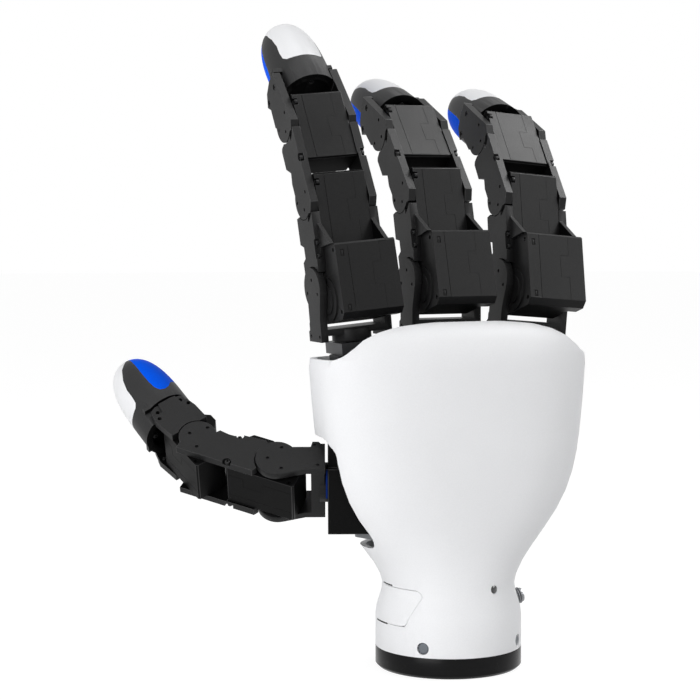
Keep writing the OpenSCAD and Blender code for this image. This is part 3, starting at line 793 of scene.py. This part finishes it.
# screw in the notch of a case: place, then radius and height
NOTCH_SCREW = (-9.6, -7.95, 6.2)
NOTCH_SCREW_SIZE = (0.95, 1.2)


def painted_light_sides(place, direction):
    """True for the side covers of a case, which take the lighter frame colour
    as painted light.
    """
    return abs(direction.x) > 0.5


def painted_shade_tucked_away(place, direction):
    """True for the sides of a case that sit between its neighbours, which get
    painted shade.
    """
    return (-0.85 < direction.y < 0.5
            and (abs(direction.z) > 0.3 or abs(direction.x) > 0.9))


class HAND_OT_cases(bpy.types.Operator):
    """Actuator cases of all four digits, with their parting lines."""
    bl_idname = "hand.cases"
    bl_label = "Actuator cases"

    def execute(self, context):
        edge = context.scene.hand_sizes.case_edge
        for finger in FINGERS:
            self.finger_cases(finger, edge)
        self.thumb_cases(edge)
        return {"FINISHED"}

    def finger_cases(self, finger, edge):
        """Knuckle case, then the cases of both bones with their screws."""
        knuckle = link(finger, 1)
        # the side covers of the knuckle case take the lighter frame colour as
        # painted light
        finish_node(finger + "_knuckle_case",
                    finger + "_knuckle_case_body",
                    mats("case_matte", "case_edge", "frame_matte"), edge,
                    painted=(knuckle, painted_light_sides),
                    seams=case_seams(knuckle, KNUCKLE_BACK, 20, -20, -5.8,
                                     8.3, 4.2, -2.8, 6.8))
        bones = []
        for n, part in ((1, "proximal"), (2, "middle")):
            bone = link(finger, n)
            far_end = bone @ Matrix.Translation((0, 0, along_z(finger, n)))
            node = f"{finger}_{part}_case"
            bones.append((node, far_end))
            # the tucked-away sides of a bone case take painted shade
            finish_node(node, node + "_body",
                        mats("case_matte", "case_edge", "painted_shade_black"),
                        edge, painted=(bone, painted_shade_tucked_away),
                        seams=case_seams(far_end, CASE_BACK, 30, -30, -7.0,
                                         6.1, 2.1, -11.4, -1.8))
        self.knuckle_inserts(finger, knuckle)
        for node, far_end in bones:
            screws_piece(node + "_screws", NODES[node]["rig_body"],
                         mats("screw_black", "socket_dark"),
                         [(far_end, NOTCH_SCREW, (-1, 0, 0),
                           *NOTCH_SCREW_SIZE)])

    def thumb_cases(self, edge):
        """Swing case, both bone cases and the seal of the roll motor."""
        seams = {"thumb_lower_case": case_seams(
                     link("thumb", 2), CASE_BACK, 30, -30, -6.5, 6.1, 1.0,
                     3.0, 12.0),
                 "thumb_upper_case": case_seams(
                     link("thumb", 3), CASE_BACK, 30, -30, -6.5, 6.1, 1.0,
                     1.0, 8.0)}
        # the thumb cases take the darker case colour as painted shade
        for node in ("thumb_swing_case", "thumb_lower_case",
                     "thumb_upper_case"):
            finish_node(node, node + "_body",
                        mats("case_shaded", "case_edge"), edge,
                        seams=seams.get(node, ()))
        # the seal takes the darker blue as painted shade
        finish_node("thumb_motor_seal", "thumb_motor_seal_plate",
                    mats("seal_blue_painted_shade", "seal_blue_painted_shade"), 0.0002)

    def knuckle_inserts(self, finger, matrix):
        """Small sockets in the two windows on the back of a knuckle."""
        bm = bmesh.new()
        for z in KNUCKLE_WINDOWS:
            add_block(bm, matrix, (-9.1, -20.0, z - 1.2),
                      (-7.9, -19.5, z + 1.2), 0.12)
            first = len(bm.faces)
            add_block(bm, matrix, (-8.75, -20.12, z - 0.55),
                      (-8.2, -19.8, z + 0.7), 0.08)
            bm.faces.ensure_lookup_table()
            for face in bm.faces[first:]:
                face.material_index = 1
        to_object(bm, finger + "_knuckle_sockets", finger + "_proximal",
                  mats("socket_dark", "frame_matte"))


def along_z(finger, n):
    """Length of a bone in mm."""
    ends = {1: ("_knuckle", "_middle_joint"),
            2: ("_middle_joint", "_tip_joint")}[n]
    return (joint_point(finger + ends[1])
            - joint_point(finger + ends[0])).length / MM


PLATE_X = 15.05
WEB_X = 11.5
# the link that each frame is drawn on; the thumb has no proximal frame
FRAME_LINKS = {"yoke": 0, "middle_fork": 2, "distal_fork": 3,
               "proximal_frame": 1}


def painted_shade_between_plates(place, direction):
    """True for what lies between the two plates of a frame, which gets painted
    shade.
    """
    return (abs(place.x) < WEB_X
            or (abs(place.x) < PLATE_X and place.x * direction.x < 0
                and abs(direction.x) > 0.7))


class HAND_OT_frames(bpy.types.Operator):
    """Yokes, side frames and fork plates of all four digits."""
    bl_idname = "hand.frames"
    bl_label = "Frames and forks"

    def execute(self, context):
        edge = context.scene.hand_sizes.plate_edge
        # the faces between the plates take painted shade
        finish = mats("frame_matte", "frame_edge_highlight", "painted_shade_black")
        for digit in DIGITS:
            for part, n in FRAME_LINKS.items():
                node = f"{digit}_{part}"
                if node not in NODES:
                    continue
                painted = (link(digit, n), painted_shade_between_plates) if n else None
                finish_node(node, node + "_plates", finish,
                            edge, painted=painted)
            self.plate_screws(digit)
        return {"FINISHED"}

    def plate_screws(self, digit):
        """Screws in the edge notches and counterbores of the plates."""
        if digit == "thumb":
            rows = {"thumb_middle_fork": (2, [(-7.85, 18.9, 1.15),
                                              (5.7, 19.2, 1.0)])}
        else:
            rows = {digit + "_proximal_frame": (1, [(-8.0, 12.9, 0.85),
                                                    (-8.0, 18.3, 0.85)]),
                    digit + "_middle_fork": (2, [(-7.9, 16.1, 1.1)]),
                    digit + "_distal_fork": (3, [(-5.4, 16.4, 1.15),
                                                 (4.6, 16.4, 1.15)])}
        for node, (n, places) in rows.items():
            depth = 0.85 if n == 3 else 1.6
            screws_piece(node + "_screws", NODES[node]["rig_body"],
                         mats("screw_black", "socket_dark"),
                         [(link(digit, n), (s * (PLATE_X - depth), y, z),
                           (s, 0, 0), radius, depth * 0.7)
                          for y, z, radius in places for s in (-1, 1)])


# seat and lean of a fingertip on its link, in mm and degrees
TIP_SEAT = (2.2, 1.1, 15.2)
TIP_LEAN = 4.5
THUMB_TIP = (0, -2, 3)
SKIRT_TOP = 30
TIP_EDGE = 0.0003


def painted_shade_inside_skirt(place, direction):
    """True for the hollow underside of a fingertip, which gets painted shade.
    """
    across = Vector((place.x - TIP_SEAT[0], place.y - TIP_SEAT[1]))
    return (place.z < SKIRT_TOP and (across.dot(direction.xy) < -0.2
                              or direction.z < -0.9))


class HAND_OT_tips(bpy.types.Operator):
    """Fingertip bodies, nail caps and grip pads."""
    bl_idname = "hand.tips"
    bl_label = "Fingertips"

    def execute(self, context):
        for digit in DIGITS:
            # the hollow underside of a tip takes painted shade
            finish_node(digit + "_tip_shell", digit + "_tip_body",
                        mats("tip_soft", "tip_soft", "painted_shade_black"),
                        TIP_EDGE, angle=SOFT_SHARP_ANGLE, curved=True,
                        fine=True, painted=(link(digit, 3), painted_shade_inside_skirt))
            finish_node(digit + "_nail_cap", digit + "_nail_cap_cover",
                        mats("cap_gloss", "cap_gloss"),
                        TIP_EDGE, angle=SOFT_SHARP_ANGLE, curved=True)
            finish_node(digit + "_tip_pad", digit + "_grip_pad",
                        mats("pad_gloss", "pad_gloss"),
                        TIP_EDGE, angle=SOFT_SHARP_ANGLE, curved=True,
                        fine=True)
            lean = Matrix.Translation(TIP_SEAT) @ Matrix.Rotation(
                -math.radians(TIP_LEAN), 4, "X")
            if digit == "thumb":
                lean = Matrix.Translation(THUMB_TIP) @ lean
            screws_piece(digit + "_tip_screw", digit + "_distal",
                         mats("screw_black", "socket_dark"),
                         [(link(digit, 3) @ lean, (0, -8.1, 1.8), (0, 0, -1),
                           1.25, 0.7)])
        return {"FINISHED"}


# -------------------------------------------------------------------- stage

def pale(name, strength, lit):
    """Pale floor that reads white in the view and keeps soft shadows."""
    mat, tree, shader = new_material(name)
    shader.inputs["Base Color"].default_value = (0.86, 0.86, 0.86, 1)
    shader.inputs["Roughness"].default_value = 0.8
    glow = tree.nodes.new("ShaderNodeEmission")
    glow.inputs["Strength"].default_value = strength
    path = tree.nodes.new("ShaderNodeLightPath")
    mix = tree.nodes.new("ShaderNodeMixShader")
    seen = seen_or_mirrored(tree, path)
    scale = tree.nodes.new("ShaderNodeMath")
    scale.operation = "MULTIPLY"
    scale.inputs[1].default_value = 1 - lit
    tree.links.new(seen, scale.inputs[0])
    tree.links.new(scale.outputs[0], mix.inputs["Fac"])
    tree.links.new(shader.outputs["BSDF"], mix.inputs[1])
    tree.links.new(glow.outputs["Emission"], mix.inputs[2])
    tree.links.new(mix.outputs["Shader"],
                   tree.nodes["Material Output"].inputs["Surface"])
    return mat


def seen_or_mirrored(tree, path):
    """1 for camera, glossy and transmission rays, 0 for the others."""
    total = path.outputs["Is Camera Ray"]
    for extra in ("Is Glossy Ray", "Is Transmission Ray"):
        most = tree.nodes.new("ShaderNodeMath")
        most.operation = "MAXIMUM"
        tree.links.new(total, most.inputs[0])
        tree.links.new(path.outputs[extra], most.inputs[1])
        total = most.outputs[0]
    return total


def area_light(name, place, aim, size, power):
    data = bpy.data.lights.new(name, "AREA")
    data.shape = "RECTANGLE"
    data.size, data.size_y = size
    data.energy = power
    lamp = bpy.data.objects.new(name, data)
    bpy.context.scene.collection.objects.link(lamp)
    lamp.location = place
    aim_at = Vector(aim) - Vector(place)
    lamp.rotation_euler = aim_at.to_track_quat("-Z", "Y").to_euler()
    return lamp


FLOOR_RADIUS = 6.0
FLOOR_GLOW = 1.18
FLOOR_LIT = 0.25
# place, side of the square and power; these only show in reflections
CARDS = (("rim_card", (0.64, -0.10, 1.02), 0.5, 11.0),
         ("top_card", (-0.12, -0.12, 1.30), 0.7, 4.0),
         ("front_card", (0.80, -0.98, 0.70), 0.5, 5.5))
# turn, tilt and roll of the camera, in degrees
CAMERA_ANGLES = (-22.55, 4.05, -0.16)
CAMERA_TARGET = (-0.04365, 0, 0.13557)
CAMERA_DISTANCE = 0.81634
CAMERA_LENS = 99.95
CAMERA_SHIFT = (-0.0061, 0.0056)


class HAND_OT_stage(bpy.types.Operator):
    """Pale floor, soft light and the camera."""
    bl_idname = "hand.stage"
    bl_label = "Stage"

    def execute(self, context):
        scene = context.scene
        look = scene.hand_stage
        self.lay_floor(scene, look)
        self.fill_world(scene, look)
        self.place_lamps(look)
        self.place_camera(scene)
        scene.view_settings.view_transform = "Standard"
        return {"FINISHED"}

    def lay_floor(self, scene, look):
        bm = bmesh.new()
        bmesh.ops.create_circle(bm, cap_ends=True, segments=96,
                                radius=FLOOR_RADIUS)
        data = bpy.data.meshes.new("floor")
        bm.to_mesh(data)
        bm.free()
        data.materials.append(pale("floor_pale", FLOOR_GLOW * look.white,
                                   FLOOR_LIT))
        floor = bpy.data.objects.new("floor", data)
        floor.location.z = -0.0002
        scene.collection.objects.link(floor)

    def fill_world(self, scene, look):
        """White where it is seen or mirrored, and softer as a light."""
        world = scene.world or bpy.data.worlds.new("World")
        scene.world = world
        world.use_nodes = True
        tree = world.node_tree
        for node in list(tree.nodes):
            tree.nodes.remove(node)
        out = tree.nodes.new("ShaderNodeOutputWorld")
        mix = tree.nodes.new("ShaderNodeMixShader")
        path = tree.nodes.new("ShaderNodeLightPath")
        for slot_number, strength in ((1, look.sky), (2, look.white)):
            back = tree.nodes.new("ShaderNodeBackground")
            back.inputs["Color"].default_value = (1, 1, 1, 1)
            back.inputs["Strength"].default_value = strength
            tree.links.new(back.outputs[0], mix.inputs[slot_number])
        tree.links.new(seen_or_mirrored(tree, path), mix.inputs["Fac"])
        tree.links.new(mix.outputs[0], out.inputs["Surface"])

    def place_lamps(self, look):
        area_light("key_softbox", (-1.05, -0.70, 0.50), (0, 0, 0.14),
                   (0.9, 0.9), look.key)
        area_light("rim_softbox", (0.64, -0.12, 1.02), (0, 0, 0.2),
                   (0.6, 0.6), look.rim)
        for name, place, size, power in CARDS:
            card = area_light(name, place, (0, 0, 0.2), (size, size),
                              power * look.gloss)
            card.visible_diffuse = False

    def place_camera(self, scene):
        turn, tilt, roll = (math.radians(a) for a in CAMERA_ANGLES)
        back = Vector((math.sin(turn) * math.cos(tilt),
                       -math.cos(turn) * math.cos(tilt), math.sin(tilt)))
        right = Vector((math.cos(turn), math.sin(turn), 0))
        up = back.cross(right)
        side = right * math.cos(roll) + up * math.sin(roll)
        top = up * math.cos(roll) - right * math.sin(roll)
        data = bpy.data.cameras.new("camera")
        camera = bpy.data.objects.new("camera", data)
        scene.collection.objects.link(camera)
        place = Matrix((side, top, back)).transposed().to_4x4()
        place.translation = Vector(CAMERA_TARGET) + back * CAMERA_DISTANCE
        camera.matrix_world = place
        data.lens = CAMERA_LENS
        data.sensor_width = 36.0
        data.shift_x, data.shift_y = CAMERA_SHIFT
        data.clip_start, data.clip_end = 0.05, 30.0
        scene.camera = camera


class HAND_PT_panel(bpy.types.Panel):
    """Lists the steps that finish the hand."""
    bl_idname = "HAND_PT_panel"
    bl_label = "Robot hand"
    bl_space_type = "VIEW_3D"
    bl_region_type = "UI"
    bl_category = "Robot hand"

    def draw(self, context):
        for operator in STEPS:
            self.layout.operator(operator.bl_idname)
        for group in ("hand_colours", "hand_sizes", "hand_stage"):
            box = self.layout.box()
            settings = getattr(context.scene, group)
            for name in settings.__annotations__:
                box.prop(settings, name)


STEPS = (HAND_OT_stage, HAND_OT_wrist, HAND_OT_palm, HAND_OT_inside,
         HAND_OT_cases, HAND_OT_frames, HAND_OT_tips)
GROUPS = (("hand_colours", HandColours), ("hand_sizes", HandSizes),
          ("hand_stage", HandStage))


def register():
    for name, group in GROUPS:
        bpy.utils.register_class(group)
        setattr(bpy.types.Scene, name, PointerProperty(type=group))
    for cls in STEPS + (HAND_PT_panel,):
        bpy.utils.register_class(cls)


def unregister():
    for cls in reversed(STEPS + (HAND_PT_panel,)):
        bpy.utils.unregister_class(cls)
    for name, group in reversed(GROUPS):
        delattr(bpy.types.Scene, name)
        bpy.utils.unregister_class(group)


def main():
    register()
    make_materials()
    for step in STEPS:
        category, name = step.bl_idname.split(".")
        result = getattr(getattr(bpy.ops, category), name)()
        if result != {"FINISHED"}:
            raise RuntimeError(step.bl_label + " did not finish")


if __name__ == "__main__":
    main()
